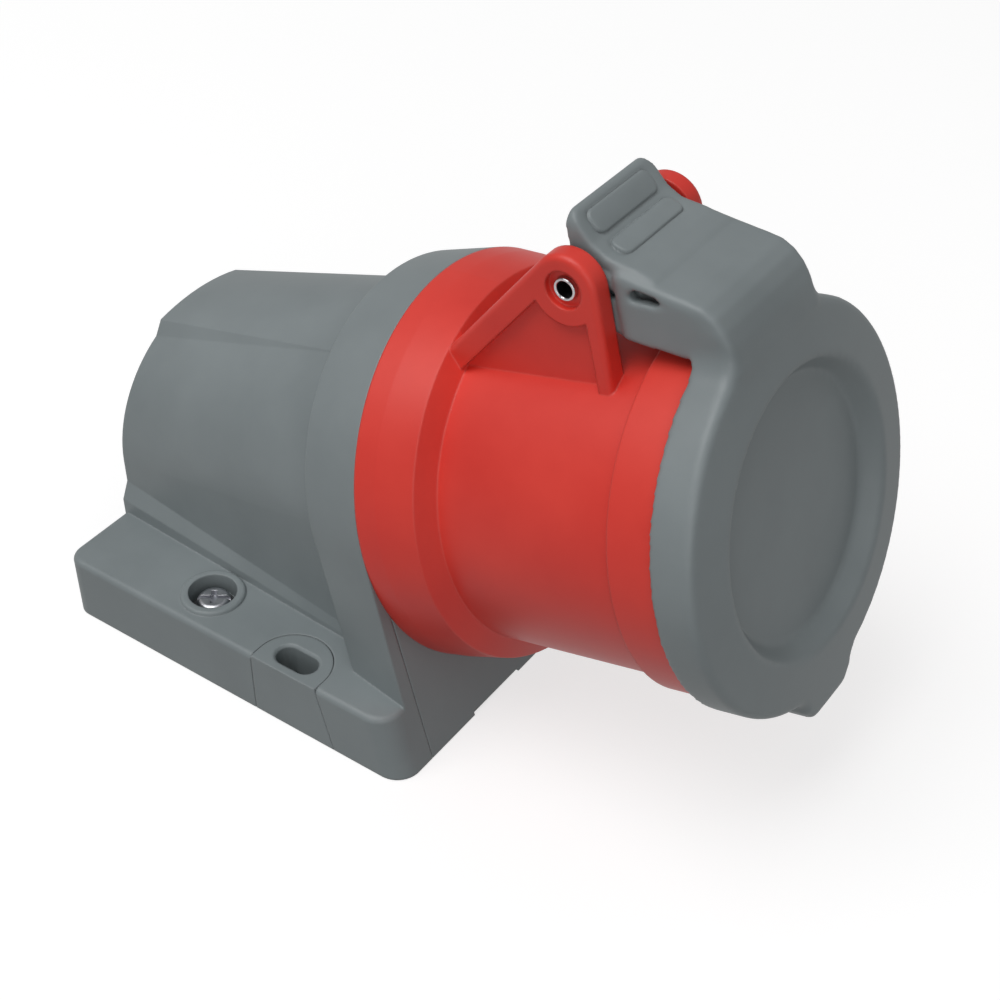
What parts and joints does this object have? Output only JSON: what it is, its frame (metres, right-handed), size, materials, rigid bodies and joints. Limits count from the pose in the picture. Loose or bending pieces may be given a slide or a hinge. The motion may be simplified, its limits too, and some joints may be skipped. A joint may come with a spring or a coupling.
{
  "type": "industrial wall socket",
  "caption": "Surface-mounted round-pin wall socket with an inclined red barrel, grey base and cover, and a sprung hinged lid that closes the mouth.",
  "frame": {"origin": "midway between the two fixing slots, on the wall plane under the base", "axes": "+Z away from the wall, +X towards the socket's mouth, symmetric about Y = 0"},
  "size_m": [0.1582, 0.094, 0.1138],
  "materials": {
    "grey_plastic": "satin moulded",
    "red_plastic": "satin moulded",
    "black_plastic": "matt moulded",
    "grey_rubber": "matt",
    "zinc_steel": "zinc plated",
    "pin_steel": "bright tube",
    "spring_steel": "drawn wire",
    "brass": "turned"
  },
  "bodies": {
    "housing": {"base_plate": "grey_plastic", "housing_cover": "grey_plastic", "housing_seal": "grey_rubber", "cover_screws": "zinc_steel", "cover_screw_washers": "grey_rubber", "socket_sleeve": "red_plastic", "sleeve_seal": "grey_rubber", "sleeve_screws": "zinc_steel", "contact_carrier": "black_plastic", "terminal_block": "black_plastic", "contact_springs": "spring_steel", "terminal_screws": "zinc_steel", "carrier_screws": "zinc_steel", "cable_grommet": "grey_rubber", "hinge_pin": "pin_steel", "lid_spring": "spring_steel", "contact_pe": "brass", "contact_l1": "brass", "contact_l2": "brass", "contact_l3": "brass", "contact_n": "brass"},
    "lid": {"lid": "grey_plastic", "lid_seal": "grey_rubber"}
  },
  "joints": [
    {"name": "lid_hinge", "type": "hinge", "parent": "housing", "child": "lid", "pos_m": [0.04329, 0, 0.10275], "axis": [0, -1, 0], "range_deg": [0, 105], "stiffness_Nm_per_rad": 0.15, "springref_deg": -45.84, "deforming": ["lid_spring"]}
  ]
}
